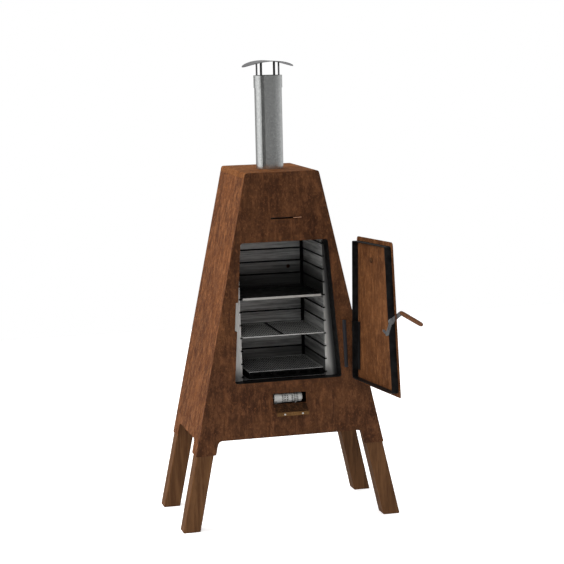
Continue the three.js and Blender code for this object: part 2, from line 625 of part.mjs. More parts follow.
function hingeLeaf() {
  const face = -GAP - SHEET;
  const near = (s) => openHalf(s) + 2; // the leaf's inner edge runs beside the opening
  const plate = standing(outline([[near(HINGE.low), HINGE.low, 2], [282, HINGE.low, 2], [282, HINGE.high, 2],
    [near(HINGE.high), HINGE.high, 2]]), face, -GAP);
  const mid = [723, 828];
  const tongue = box(270, HINGE.x, face, -GAP, ...mid);
  const eye = bar([HINGE.x, HINGE.y, mid[0]], [HINGE.x, HINGE.y, mid[1]], HINGE.radius, 24);
  const bore = bar([HINGE.x, HINGE.y, mid[0] - 5], [HINGE.x, HINGE.y, mid[1] + 5], 4.3, 20);
  return cut(joined([plate, tongue, eye]), [bore]);
}

function hingeRib() {
  // A half-round bar on the leaf that leans with the side of the opening.
  const section = new THREE.Shape();
  section.absarc(RIB.x, -2 * GAP - SHEET, RIB.radius, Math.PI, 2 * Math.PI, false);
  section.closePath();
  const rib = level(section, HINGE.low + 1, HINGE.high - 1, 12);
  const p = rib.attributes.position;
  for (let i = 0; i < p.count; i++) {
    p.setX(i, p.getX(i) - (p.getZ(i) - HINGE.low) * RIB.lean);
  }
  return rib;
}

function backingPlate() {
  // An angle behind the rim on the hinge side, where the two hinge arms are bolted through.
  const edge = (s) => openHalf(s) - RIM_GAP - SHEET - GAP;
  const side = (x0, x1) => outline([[edge(HINGE.low) - x0, HINGE.low], [edge(HINGE.high) - x0, HINGE.high],
    [edge(HINGE.high) - x1, HINGE.high], [edge(HINGE.low) - x1, HINGE.low]]);
  const back = DOOR_FACE + SHEET + GAP + LINER + 2 * GAP;
  return joined([standing(side(0, 3), back, RIM_DEPTH - 1), standing(side(0, 28), back, back + 3)]);
}

// A flat bar with round ends between two (y, height) points, its thickness from x0 to x1.
function link(from, to, width, x0, x1) {
  const turn = Math.atan2(to[1] - from[1], to[0] - from[0]);
  const shape = new THREE.Shape();
  shape.absarc(...from, width / 2, turn + Math.PI / 2, turn + 1.5 * Math.PI, false);
  shape.absarc(...to, width / 2, turn - Math.PI / 2, turn + Math.PI / 2, false);
  shape.closePath();
  return across(shape, x0, x1, 8);
}

// The latch is drawn about its own pivot: x across the lever, y depth, z along the jamb.
const LEVER = { inner: RIM_GAP - GAP, outer: RIM_GAP - GAP - 4 };
const KNEE = [-42, 29];
const GRIP = { from: [-39, 36], to: [-137, -25.5], radius: 9.4 };

function leverShape(extra) {
  const x = [LEVER.outer - extra, LEVER.inner + extra];
  const tang = [GRIP.from, GRIP.to].map(([y, z]) => [y, z]);
  const end = [tang[0][0] + 0.72 * (tang[1][0] - tang[0][0]), tang[0][1] + 0.72 * (tang[1][1] - tang[0][1])];
  return joined([
    link([0, 0], KNEE, 18 + 2 * extra, ...x),
    link(KNEE, end, 8 + 2 * extra, ...x),
    link([0, 0], [20, -51], 13 + 2 * extra, ...x),
    link([20, -51], [34, -35], 10 + 2 * extra, ...x),
  ]);
}

function buildLatch() {
  const pivot = new THREE.Group();
  pivot.position.set(-openHalf(LATCH.s), LATCH.y, LATCH.s);
  pivot.rotation.y = jambLean;
  door.add(pivot);
  place("latch_lever", cut(leverShape(0), [bar([-20, 0, 0], [20, 0, 0], 4.4, 20)]), ZINC, pivot);
  const mid = (LEVER.inner + LEVER.outer) / 2;
  const wood = bar([mid, ...GRIP.from], [mid, ...GRIP.to], GRIP.radius, 28);
  place("handle_grip", cut(wood, [leverShape(GAP)]), GRIP_WOOD, pivot);
  const inside = RIM_GAP + SHEET;
  const head = [[0, LEVER.outer - 3.6], [12, LEVER.outer - 3], [13, LEVER.outer - GAP], [4, LEVER.outer - GAP],
    [4, inside + 9], [0, inside + 9]];
  const bolt = new THREE.LatheGeometry(head.map((p) => new THREE.Vector2(...p)), 24).rotateZ(-Math.PI / 2);
  place("latch_bolt", bolt, STAINLESS, pivot);
}

function strikeParts() {
  // A shallow channel over the relief in the jamb, carrying the pin that the hook pulls against.
  const web = box(-14, -12, SHEET + GAP, FRAME_DEPTH - 5, NOTCH.low - 8, NOTCH.high + 8);
  const ends = [NOTCH.low - 8, NOTCH.high + 6].map((z) =>
    box(-14, -3.4, SHEET + GAP, FRAME_DEPTH - 5, z, z + 2));
  const bore = bar([-20, LATCH.y + 36, -3], [0, LATCH.y + 36, -3], 3.8, 16);
  return {
    plate: jambFrame(cut(joined([web, ...ends]), [bore])),
    pin: jambFrame(bar([-16, LATCH.y + 36, -3], [2.5, LATCH.y + 36, -3], 3.5, 16)),
  };
}

function buildDoor() {
  const gauge = () => disc(GAUGE.x, GAUGE.s, GAUGE.radius);
  const outer = standing(withHoles(doorPath(0, 18, 6), [gauge()]), DOOR_FACE, DOOR_FACE + SHEET);
  const slot = jambFrame(box(-4.5, RIM_GAP - GAP, DOOR_FACE - 5, DOOR_FACE + SHEET + 5, -16, 25));
  place("door_panel", cut(outer, [slot]), RUST, door);
  const inset = DOOR_OVERLAP + RIM_GAP + SHEET + GAP;
  const inner = withHoles(doorPath(inset, 8, 8), [gauge()]);
  const innerY = DOOR_FACE + SHEET + GAP;
  place("door_liner", standing(inner, innerY, innerY + LINER), RUST, door);
  place("door_rim", doorRim(), ENAMEL, door);
  place("hinge_backing", backingPlate(), ENAMEL, door);
  place("hinge_arm_lower", hingeArm(HINGE.low + 8, 722), ENAMEL, door);
  place("hinge_arm_upper", hingeArm(829, HINGE.high - 8), ENAMEL, door);
  const pin = bar([HINGE.x, HINGE.y, HINGE.low], [HINGE.x, HINGE.y, HINGE.high], 4, 20);
  place("hinge_pin", pin, STAINLESS, front);
  place("hinge_leaf", hingeLeaf(), RUST, front);
  place("hinge_rib", hingeRib(), LINER_STEEL, front);
  const strike = strikeParts();
  place("strike_plate", strike.plate, ZINC, front);
  place("strike_pin", strike.pin, STAINLESS, front);
  buildLatch();
}

// ---- assembly -----------------------------------------------------------------------------------
buildCabinet();
buildLiner();
buildShelves();
buildFlue();
buildDamper();
buildDraft();
buildSmokeTube();
buildDoor();

// The row frame's origin is the centre of the bounding box's base.
smoker.updateMatrixWorld(true);
const bounds = new THREE.Box3().setFromObject(smoker);
smoker.position.set(-(bounds.min.x + bounds.max.x) / 2, -(bounds.min.y + bounds.max.y) / 2, 0);
smoker.updateMatrixWorld(true);

export default smoker;
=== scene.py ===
# %% [markdown]
# # A vertical cabinet smoker
# The metal frame of this object is already packed: panels, flue, door, latch and shelves, each as
# its own solid. This lesson loads that frame, adds the fine pieces that a solid frame can't carry,
# such as fine grates and a perforated tube, and gives every surface a finish made from nodes.

# %% Load the frame
import math

import bmesh
import bpy
import numpy as np
from mathutils import Matrix, Vector


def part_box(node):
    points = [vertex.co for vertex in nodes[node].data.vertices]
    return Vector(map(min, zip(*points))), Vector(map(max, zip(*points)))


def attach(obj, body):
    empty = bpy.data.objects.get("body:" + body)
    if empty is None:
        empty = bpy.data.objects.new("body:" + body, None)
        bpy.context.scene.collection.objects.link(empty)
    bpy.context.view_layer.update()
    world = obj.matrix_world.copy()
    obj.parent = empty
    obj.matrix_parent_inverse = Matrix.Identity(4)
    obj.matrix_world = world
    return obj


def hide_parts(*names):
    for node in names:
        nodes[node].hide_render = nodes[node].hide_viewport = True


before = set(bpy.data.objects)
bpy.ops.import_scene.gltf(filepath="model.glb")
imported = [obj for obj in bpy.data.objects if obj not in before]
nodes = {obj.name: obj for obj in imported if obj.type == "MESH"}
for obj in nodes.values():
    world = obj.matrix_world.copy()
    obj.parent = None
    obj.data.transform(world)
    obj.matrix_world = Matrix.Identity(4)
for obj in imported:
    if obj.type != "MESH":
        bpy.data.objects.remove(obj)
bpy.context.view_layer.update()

print("frame loaded:", len(nodes), "nodes")

# %% [markdown]
# ## Sizes and the two sloping frames
# The cabinet narrows towards its top and its front leans back a little, so two small helpers keep
# the arithmetic in one place. `front_point` turns a place on the leaning front (across, depth
# behind the front, height along it) into a point in metres. `door_point` does the same for the
# door, whose places are easiest to give with the door shut and then turned about its pin.

# %% Sizes and frame helpers
RAKE = 0.044                       # how far the front comes forward per unit downwards
SIDE_SLOPE = 0.215                 # how far each side goes outwards per unit downwards
BODY_HEIGHT = 1.530
LID_DEPTH = 0.450                  # from the back to the front's top edge
TOP_HALF = 0.1625                  # half of the cabinet's width at its top
SHEET = 0.003
GAP = 0.0003
HINGE_PIN = (0.2955, -0.0106)      # across and depth of the door's pin
DOOR_TURN = math.radians(92.9)     # from shut to the stored pose
back_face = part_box("back_panel")[1][1]
FRONT_TOP_Y = back_face - LID_DEPTH

OPEN_FOOT, OPEN_TOP = (0.630, 0.2388), (1.234, 0.1936)   # the door opening: height, half width

lean = math.atan(RAKE)
side_lean = math.atan(SIDE_SLOPE)


def front_y(z):
    """Depth of the front face at height z: the top edge minus the rake times the drop below it."""
    return FRONT_TOP_Y - RAKE * (BODY_HEIGHT - z)


def half_width(z):
    """Half of the cabinet's width at height z: the top half plus the slope times the drop."""
    return TOP_HALF + SIDE_SLOPE * (BODY_HEIGHT - z)


def front_point(across, depth, height):
    """Rotates (depth, height) by the lean about X and puts it on the front plane's foot."""
    y = front_y(0) + depth * math.cos(lean) + height * math.sin(lean)
    z = -depth * math.sin(lean) + height * math.cos(lean)
    return np.stack(np.broadcast_arrays(across, y, z), -1)


def door_point(across, depth, height):
    """Turns a place on the shut door about the hinge pin, then lays it on the leaning front."""
    dx, dy = across - HINGE_PIN[0], depth - HINGE_PIN[1]
    c, s = math.cos(DOOR_TURN), math.sin(DOOR_TURN)
    return front_point(HINGE_PIN[0] + c * dx - s * dy, HINGE_PIN[1] + s * dx + c * dy, height)


print("front leans", round(math.degrees(lean), 2), "degrees, sides", round(math.degrees(side_lean), 2))

# %% [markdown]
# ## Camera
# A long lens a good way off keeps the tall cabinet's edges nearly parallel. The camera stands to
# the left and a little above the rain cap, so the inside of the open door and the shelves show.

# %% Camera
CAMERA_AT = Vector((-1.8982, -7.2074 + FRONT_TOP_Y, 2.1581))
yaw, pitch, roll = 0.25607, 0.14697, -0.02213        # radians: to the right, down, and a slight tilt
forward = Vector((math.sin(yaw) * math.cos(pitch), math.cos(yaw) * math.cos(pitch), -math.sin(pitch)))
level_right = Vector((math.cos(yaw), -math.sin(yaw), 0))
level_up = level_right.cross(forward)
right = math.cos(roll) * level_right + math.sin(roll) * level_up
up = -math.sin(roll) * level_right + math.cos(roll) * level_up
camera_data = bpy.data.cameras.new("camera")
camera_data.lens = 111.68
camera_data.sensor_width = 36
camera_data.clip_end = 200
camera = bpy.data.objects.new("camera", camera_data)
turn = Matrix((right, up, -forward)).transposed().to_4x4()
camera.matrix_world = Matrix.Translation(CAMERA_AT) @ turn
bpy.context.scene.collection.objects.link(camera)
bpy.context.scene.camera = camera
print("camera at", [round(v, 3) for v in CAMERA_AT])

# %% [markdown]
# ## Studio
# The floor and the surroundings are pale. The world is brighter on the left and dimmer on the
# viewer's side, as in a studio with one big soft box, which gives round metal its bright streak
# and its dark band. A Light Path node keeps the visible backdrop plain white from every side.

# %% Floor, world and lights
scene = bpy.context.scene
scene.view_settings.view_transform = "Standard"


def link(tree, outlet, inlet):
    tree.links.new(outlet, inlet)


def add(tree, kind, inputs=None, **props):
    """Adds one shader node, sets its properties, and fills or links its input sockets."""
    made = tree.nodes.new(kind)
    for key, value in props.items():
        setattr(made, key, value)
    for key, value in (inputs or {}).items():
        if isinstance(value, bpy.types.NodeSocket):
            link(tree, value, made.inputs[key])
        else:
            made.inputs[key].default_value = value
    return made


# The ring of light round the object: a turn of 0.5 is straight in front, 0.25 is the left side
# and 0.75 the right, and the second number is how bright the studio is there.
STUDIO_RING = ((0.12, 0.45), (0.15, 1.1), (0.262, 1.1), (0.285, 0.07), (0.362, 0.09), (0.385, 0.25),
               (0.60, 0.27), (0.70, 0.42), (0.82, 0.70))
BEHIND_GREY = 0.3                  # the ring at its two ends, straight behind
CEILING_GREY = 0.75
CEILING_FROM, CEILING_FULL = 0.45, 0.95
RING_BLUE = 1.02                   # a slightly cool tint


def studio_world():
    """The angle of a direction round the upright axis picks a grey from the ring, and its height
    blends that grey into the ceiling's."""
    world = bpy.data.worlds.new("studio")
    world.use_nodes = True
    tree = world.node_tree
    tree.nodes.clear()
    place = add(tree, "ShaderNodeTexCoord")
    parts = add(tree, "ShaderNodeSeparateXYZ", {0: place.outputs["Generated"]})
    swing = add(tree, "ShaderNodeMath", {
        0: parts.outputs["X"], 1: add(tree, "ShaderNodeMath", {0: parts.outputs["Y"], 1: -1.0},
                                      operation="MULTIPLY").outputs[0]}, operation="ARCTAN2").outputs[0]
    turn = add(tree, "ShaderNodeMapRange", {
        "Value": swing, "From Min": -math.pi, "From Max": math.pi, "To Min": 0.0, "To Max": 1.0}).outputs[0]
    ramp = add(tree, "ShaderNodeValToRGB", {0: turn})
    stops = ramp.color_ramp.elements
    for stop, end in zip(stops, (0.0, 1.0)):
        stop.position, stop.color = end, (BEHIND_GREY, BEHIND_GREY, BEHIND_GREY, 1)
    for at, grey in STUDIO_RING:
        stop = stops.new(at)
        stop.color = (grey, grey, grey * RING_BLUE, 1)
    over = add(tree, "ShaderNodeMapRange", {
        "Value": parts.outputs["Z"], "From Min": CEILING_FROM, "From Max": CEILING_FULL,
        "To Min": 0.0, "To Max": 1.0})
    dome = add(tree, "ShaderNodeMix", {
        "Factor": over.outputs[0], 6: ramp.outputs[0],
        7: (CEILING_GREY, CEILING_GREY, CEILING_GREY, 1)}, data_type="RGBA")
    studio = add(tree, "ShaderNodeBackground", {"Color": dome.outputs[2], "Strength": 1.0})
    plain = add(tree, "ShaderNodeBackground", {"Color": (1, 1, 1, 1), "Strength": 1.0})
    path = add(tree, "ShaderNodeLightPath")
    both = add(tree, "ShaderNodeMixShader", {
        0: path.outputs["Is Camera Ray"], 1: studio.outputs[0], 2: plain.outputs[0]})
    add(tree, "ShaderNodeOutputWorld", {"Surface": both.outputs[0]})
    return world


scene.world = studio_world()


def soft_box(name, place, target, size, power, tint=(1, 1, 1)):
    """A square area light at a place, turned to face a target."""
    data = bpy.data.lights.new(name, "AREA")
    data.shape, data.size, data.energy, data.color = "SQUARE", size, power, tint
    lamp = bpy.data.objects.new(name, data)
    lamp.location = place
    lamp.rotation_euler = (Vector(target) - Vector(place)).to_track_quat("-Z", "Y").to_euler()
    lamp.visible_glossy = False          # reflections show only the ring of light
    scene.collection.objects.link(lamp)
    return lamp


soft_box("key_left", (-5.0, 0.2, 3.4), (0, 0.1, 0.9), 2.5, 260, (1.0, 0.98, 0.95))
soft_box("front_fill", (-2.5, -6.0, 4.5), (0, 0.0, 0.9), 2.5, 190)
soft_box("top_fill", (-0.5, 1.8, 5.5), (0, 0.2, 0.8), 2.5, 170)

FLOOR_EDGE = 5.0
floor_mesh = bpy.data.meshes.new("floor")
floor_mesh.from_pydata([(-FLOOR_EDGE, -FLOOR_EDGE, 0), (FLOOR_EDGE, -FLOOR_EDGE, 0),
                        (FLOOR_EDGE, FLOOR_EDGE, 0), (-FLOOR_EDGE, FLOOR_EDGE, 0)], [], [(0, 1, 2, 3)])
floor = bpy.data.objects.new("floor", floor_mesh)
floor.visible_glossy = False
scene.collection.objects.link(floor)
floor_finish = bpy.data.materials.new("pale_floor")
floor_finish.use_nodes = True
floor_shader = floor_finish.node_tree.nodes["Principled BSDF"]
floor_shader.inputs["Base Color"].default_value = (0.8, 0.8, 0.8, 1)
floor_shader.inputs["Roughness"].default_value = 0.95
floor_shader.inputs["Specular IOR Level"].default_value = 0.1
floor_shader.inputs["Emission Color"].default_value = (1, 1, 1, 1)
floor_shader.inputs["Emission Strength"].default_value = 0.6
floor_mesh.materials.append(floor_finish)
print("studio ready")

# %% [markdown]
# ## Shared effects as node groups
# Several finishes need the same effects: a blotchy patina, streaks that run along one direction,
# and the crystal spangle of galvanised steel. Each is a node group, built once, that takes a
# position and gives out colours and values. The shader itself stays in each material.

# %% Node group helpers
def new_group(name, inlets, outlets):
    """An empty shader group. Inlets and outlets are (name, socket type, default) rows."""
    group = bpy.data.node_groups.new(name, "ShaderNodeTree")
    for label, kind, default in inlets:
        socket = group.interface.new_socket(label, in_out="INPUT", socket_type=kind)
        if default is not None:
            socket.default_value = default
    for label, kind in outlets:
        group.interface.new_socket(label, in_out="OUTPUT", socket_type=kind)
    entry = group.nodes.new("NodeGroupInput")
    leave = group.nodes.new("NodeGroupOutput")
    return group, entry.outputs, leave.inputs


VECTOR, COLOUR, VALUE = "NodeSocketVector", "NodeSocketColor", "NodeSocketFloat"


def scaled(tree, vector, factor):
    """The position stretched by three factors, so that a pattern gets longer where one is small."""
    return add(tree, "ShaderNodeVectorMath", {0: vector, 1: factor}, operation="MULTIPLY").outputs[0]


def noise(tree, vector, scale, detail=4.0, rough=0.55, twist=0.0):
    return add(tree, "ShaderNodeTexNoise", {
        "Vector": vector, "Scale": scale, "Detail": detail, "Roughness": rough,
        "Distortion": twist}).outputs["Fac"]


def ranged(tree, value, low, high, to_low=0.0, to_high=1.0):
    return add(tree, "ShaderNodeMapRange", {
        "Value": value, "From Min": low, "From Max": high, "To Min": to_low, "To Max": to_high},
        interpolation_type="SMOOTHSTEP").outputs[0]


def maths(tree, operation, a, b):
    return add(tree, "ShaderNodeMath", {0: a, 1: b}, operation=operation).outputs[0]


def mixed(tree, factor, a, b, blend="MIX"):
    return add(tree, "ShaderNodeMix", {"Factor": factor, 6: a, 7: b},
               data_type="RGBA", blend_type=blend).outputs[2]


print("helpers for node groups ready")

# %% [markdown]
# ### Rust patina
# Weathering steel rusts in layers: broad dark blotches, thin runs where rain flowed down, and a
# fine orange grain. Three noises of very different sizes do this better than one detailed noise,
# because each size can have its own colour.

# %% Patina group
def patina_group():
    group, given, out = new_group("patina", [
        ("Vector", VECTOR, None), ("Dark", COLOUR, (0.03, 0.012, 0.007, 1)),
        ("Mid", COLOUR, (0.09, 0.034, 0.016, 1)), ("Light", COLOUR, (0.2, 0.075, 0.03, 1)),
        ("Runs", VALUE, 0.5), ("Grain", VALUE, 0.5),
    ], [("Color", COLOUR), ("Roughness", VALUE), ("Height", VALUE)])
    here = given["Vector"]
    blotch = noise(group, here, 5.0, 7.0, 0.68, 0.3)
    patch = noise(group, scaled(group, here, (1.0, 1.0, 0.55)), 34.0, 6.0, 0.68, 0.3)
    runs = noise(group, scaled(group, here, (1.0, 1.0, 0.09)), 55.0, 4.0, 0.6, 0.15)
    grain = noise(group, scaled(group, here, (1.0, 1.0, 0.6)), 120.0, 4.0, 0.75)
    speck = noise(group, scaled(group, here, (1.0, 1.0, 0.5)), 210.0, 3.0, 0.7)
    base = mixed(group, ranged(group, blotch, 0.3, 0.66), given["Dark"], given["Mid"])
    base = mixed(group, maths(group, "MULTIPLY", ranged(group, patch, 0.44, 0.74), 0.6), base, given["Light"])
    dark_runs = maths(group, "MULTIPLY", ranged(group, runs, 0.5, 0.72), given["Runs"])
    base = mixed(group, dark_runs, base, given["Dark"])
    light_runs = maths(group, "MULTIPLY", ranged(group, runs, 0.45, 0.25), given["Runs"])
    base = mixed(group, maths(group, "MULTIPLY", light_runs, 0.6), base, given["Light"])
    fine = maths(group, "MULTIPLY", ranged(group, grain, 0.50, 0.68), given["Grain"])
    base = mixed(group, fine, base, given["Light"])
    pits = maths(group, "MULTIPLY", ranged(group, speck, 0.52, 0.66), given["Grain"])
    base = mixed(group, pits, base, given["Dark"])
    link(group, base, out["Color"])
    link(group, ranged(group, patch, 0.3, 0.7, 0.88, 0.68), out["Roughness"])
    height = maths(group, "ADD", maths(group, "MULTIPLY", grain, 0.6), maths(group, "MULTIPLY", speck, 0.4))
    link(group, height, out["Height"])
    return group


PATINA = patina_group()
print("patina group has", len(PATINA.nodes), "nodes")

# %% [markdown]
# ### Streaks and spangle
# Timber grain and brushed steel are the same idea at different strengths: a noise squeezed across
# the streak and stretched along it. Spangle is a pattern of flat crystals, which is what a Voronoi
# texture draws: one random grey for each cell.

# %% Streak and spangle groups
def streak_group():
    group, given, out = new_group("streaks", [
        ("Vector", VECTOR, None), ("Stretch", VECTOR, (1, 1, 0.05)), ("Scale", VALUE, 80.0),
        ("Light", COLOUR, (0.5, 0.5, 0.5, 1)), ("Dark", COLOUR, (0.3, 0.3, 0.3, 1)),
    ], [("Color", COLOUR), ("Value", VALUE)])
    pulled = scaled(group, given["Vector"], given["Stretch"])
    wide = noise(group, pulled, given["Scale"], 5.0, 0.6, 0.3)
    fine = noise(group, scaled(group, pulled, (6.0, 6.0, 6.0)), given["Scale"], 3.0, 0.6)
    value = maths(group, "ADD", maths(group, "MULTIPLY", wide, 0.65), maths(group, "MULTIPLY", fine, 0.35))
    link(group, mixed(group, ranged(group, value, 0.36, 0.64), given["Dark"], given["Light"]), out["Color"])
    link(group, value, out["Value"])
    return group


def spangle_group():
    group, given, out = new_group("spangle", [
        ("Vector", VECTOR, None), ("Scale", VALUE, 110.0),
        ("Light", COLOUR, (0.7, 0.72, 0.72, 1)), ("Dark", COLOUR, (0.4, 0.42, 0.42, 1)),
    ], [("Color", COLOUR), ("Roughness", VALUE), ("Height", VALUE)])
    swirl = noise(group, given["Vector"], 60.0, 3.0, 0.6)
    cell = add(group, "ShaderNodeTexVoronoi", {
        "Vector": given["Vector"], "Scale": given["Scale"], "Randomness": 1.0})
    shade = add(group, "ShaderNodeSeparateColor", {0: cell.outputs["Color"]}).outputs[0]
    tone = maths(group, "ADD", maths(group, "MULTIPLY", shade, 0.6), maths(group, "MULTIPLY", swirl, 0.5))
    link(group, mixed(group, tone, given["Dark"], given["Light"]), out["Color"])
    link(group, ranged(group, shade, 0.0, 1.0, 0.15, 0.20), out["Roughness"])
    link(group, tone, out["Height"])
    return group


STREAKS, SPANGLE = streak_group(), spangle_group()
print("streaks and spangle ready")

# %% [markdown]
# ## Finishes
# Every finish is a Principled shader fed by one of the groups. The rust is one patina in shaded
# and lit copies: a darker mix for the front as painted shade, warmer and lighter ones for the sides
# and lid as painted light, and a streaky one for the door, while the black parts share one heat-proof
# coat. The chamber's walls are streaked sheet with painted shade above the pan and soot near the fire, masked
# by the height alone.

# %% Finish helpers
def start_finish(name, metallic, roughness, specular=0.5):
    """A material with a Principled shader, and the object's own coordinates to drive patterns."""
    finish = bpy.data.materials.new(name)
    finish.use_nodes = True
    tree = finish.node_tree
    shader = tree.nodes["Principled BSDF"]
    shader.inputs["Metallic"].default_value = metallic
    shader.inputs["Roughness"].default_value = roughness
    shader.inputs["Specular IOR Level"].default_value = specular
    here = add(tree, "ShaderNodeTexCoord").outputs["Object"]
    return finish, tree, shader, here


def grouped(tree, group, **inputs):
    made = tree.nodes.new("ShaderNodeGroup")
    made.node_tree = group
    for key, value in inputs.items():
        if isinstance(value, bpy.types.NodeSocket):
            link(tree, value, made.inputs[key])
        else:
            made.inputs[key].default_value = value
    return made.outputs


def bump(tree, shader, height, strength, distance):
    made = add(tree, "ShaderNodeBump", {"Height": height, "Strength": strength, "Distance": distance})
    link(tree, made.outputs[0], shader.inputs["Normal"])


def rust(name, dark, mid, light, runs=0.5, grain=0.5, shift=0.0):
    finish, tree, shader, here = start_finish(name, 0.0, 0.8, 0.12)
    moved = add(tree, "ShaderNodeMapping", {"Vector": here, "Location": (shift, 0.3 * shift, shift)})
    coat = grouped(tree, PATINA, Vector=moved.outputs[0], Dark=(*dark, 1), Mid=(*mid, 1),
                   Light=(*light, 1), Runs=runs, Grain=grain)
    link(tree, coat["Color"], shader.inputs["Base Color"])
    link(tree, coat["Roughness"], shader.inputs["Roughness"])
    bump(tree, shader, coat["Height"], 0.35, 0.0006)
    return finish


def black_coat(name, grey=0.012, roughness=0.45):
    finish, tree, shader, here = start_finish(name, 0.0, roughness, 0.1)
    mottle = noise(tree, here, 40.0, 4.0, 0.6)
    shade = mixed(tree, ranged(tree, mottle, 0.35, 0.65), (grey * 0.6,) * 3 + (1,), (grey * 1.5,) * 3 + (1,))
    link(tree, shade, shader.inputs["Base Color"])
    link(tree, ranged(tree, mottle, 0.3, 0.7, roughness - 0.1, roughness + 0.12), shader.inputs["Roughness"])
    bump(tree, shader, noise(tree, here, 500.0, 2.0), 0.15, 0.0003)
    return finish


def streaked_metal(name, light, dark, roughness, stretch=(1, 1, 0.05), scale=80.0, metallic=0.9):
    finish, tree, shader, here = start_finish(name, metallic, roughness)
    coat = grouped(tree, STREAKS, Vector=here, Stretch=stretch, Scale=scale,
                   Light=(*light, 1), Dark=(*dark, 1))
    link(tree, coat["Color"], shader.inputs["Base Color"])
    link(tree, ranged(tree, coat["Value"], 0.3, 0.7, roughness - 0.07, roughness + 0.1),
         shader.inputs["Roughness"])
    bump(tree, shader, coat["Value"], 0.12, 0.0003)
    return finish


# Darkening in the chamber: painted shade in the band above the drip pan, and soot at the foot of the walls
# beside the fire.
SHADE_START, SHADE_FULL, SHADE_GONE = -0.03, 0.02, 0.16       # heights measured from the pan's top
FIRE_SOOT_FULL, FIRE_SOOT_GONE = 0.64, 0.80
# One dark colour for both marks: painted shade above the pan and soot beside the fire.
SOOT_AND_SHADE = (0.008, 0.008, 0.007, 1)


def chamber_steel(name, light, dark):
    """Streaked sheet, blackened where the larger of two masks is high: painted shade above the pan and soot
    near the fire.
    """
    finish, tree, shader, here = start_finish(name, 0.55, 0.4)
    coat = grouped(tree, STREAKS, Vector=here, Stretch=(0.04, 0.04, 1), Scale=60.0,
                   Light=(*light, 1), Dark=(*dark, 1))
    height = add(tree, "ShaderNodeSeparateXYZ", {0: here}).outputs["Z"]
    pan_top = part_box("drip_pan")[1][2]
    # Painted shade: the wall darkens in a band just above the pan.
    above = ranged(tree, height, pan_top + SHADE_FULL, pan_top + SHADE_GONE, 0.93, 0.0)
    painted_shade = maths(tree, "MULTIPLY", above, ranged(tree, height, pan_top + SHADE_START, pan_top))
    low = ranged(tree, height, FIRE_SOOT_FULL, FIRE_SOOT_GONE, 0.6, 0.0)
    link(tree, mixed(tree, maths(tree, "MAXIMUM", painted_shade, low), coat["Color"], SOOT_AND_SHADE),
         shader.inputs["Base Color"])
    link(tree, ranged(tree, coat["Value"], 0.3, 0.7, 0.33, 0.5), shader.inputs["Roughness"])
    bump(tree, shader, coat["Value"], 0.12, 0.0003)
    return finish


def galvanised(name, light, dark, scale):
    finish, tree, shader, here = start_finish(name, 0.95, 0.3)
    coat = grouped(tree, SPANGLE, Vector=here, Scale=scale, Light=(*light, 1), Dark=(*dark, 1))
    link(tree, coat["Color"], shader.inputs["Base Color"])
    link(tree, coat["Roughness"], shader.inputs["Roughness"])
    return finish


def timber(name, light, dark, stretch=(1, 1, 0.045), scale=75.0):
    finish, tree, shader, here = start_finish(name, 0.0, 0.7, 0.15)
    coat = grouped(tree, STREAKS, Vector=here, Stretch=stretch, Scale=scale,
                   Light=(*light, 1), Dark=(*dark, 1))
    link(tree, coat["Color"], shader.inputs["Base Color"])
    link(tree, ranged(tree, coat["Value"], 0.3, 0.7, 0.78, 0.6), shader.inputs["Roughness"])
    bump(tree, shader, coat["Value"], 0.4, 0.0008)
    return finish


print("finish helpers ready")

# %% Make the finishes
# The front, side and lid rusts are one patina in shaded and lit copies: the front darker as painted shade,
# the sides and lid lighter as painted light.
RUST_FRONT_PAINTED_SHADE = rust("rust_front_painted_shade", (0.030, 0.011, 0.005), (0.070, 0.028, 0.011), (0.155, 0.060, 0.023),
                  runs=0.75, grain=0.55)
RUST_SIDE_PAINTED_LIGHT = rust("rust_side_painted_light", (0.040, 0.013, 0.005), (0.092, 0.031, 0.010), (0.23, 0.090, 0.030),
                 runs=1.0, grain=0.7, shift=3.1)
RUST_LID_PAINTED_LIGHT = rust("rust_lid_painted_light", (0.070, 0.023, 0.006), (0.135, 0.048, 0.014), (0.24, 0.098, 0.030),
                runs=0.1, grain=0.7, shift=5.2)
RUST_DOOR = rust("rust_door", (0.040, 0.014, 0.005), (0.085, 0.032, 0.011), (0.18, 0.074, 0.027),
                 runs=1.0, grain=0.6, shift=7.7)
FLAP_DARK = rust("flap_dark", (0.012, 0.006, 0.003), (0.032, 0.014, 0.006), (0.10, 0.042, 0.016),
                 runs=0.3, grain=0.9, shift=2.2)
FLAP_STRIP = rust("flap_strip", (0.060, 0.030, 0.010), (0.12, 0.060, 0.020), (0.18, 0.095, 0.036),
                  runs=0.3, grain=0.4, shift=4.4)
WARM_STEEL = rust("warm_steel", (0.25, 0.12, 0.07), (0.38, 0.20, 0.12), (0.5, 0.28, 0.18),
                  runs=0.2, grain=0.3, shift=1.7)
BLACK = black_coat("heat_black", 0.006, 0.5)
WIRE_BLACK = black_coat("wire_black", 0.003, 0.6)
LINER = chamber_steel("liner_steel", (0.80, 0.80, 0.78), (0.28, 0.28, 0.275))

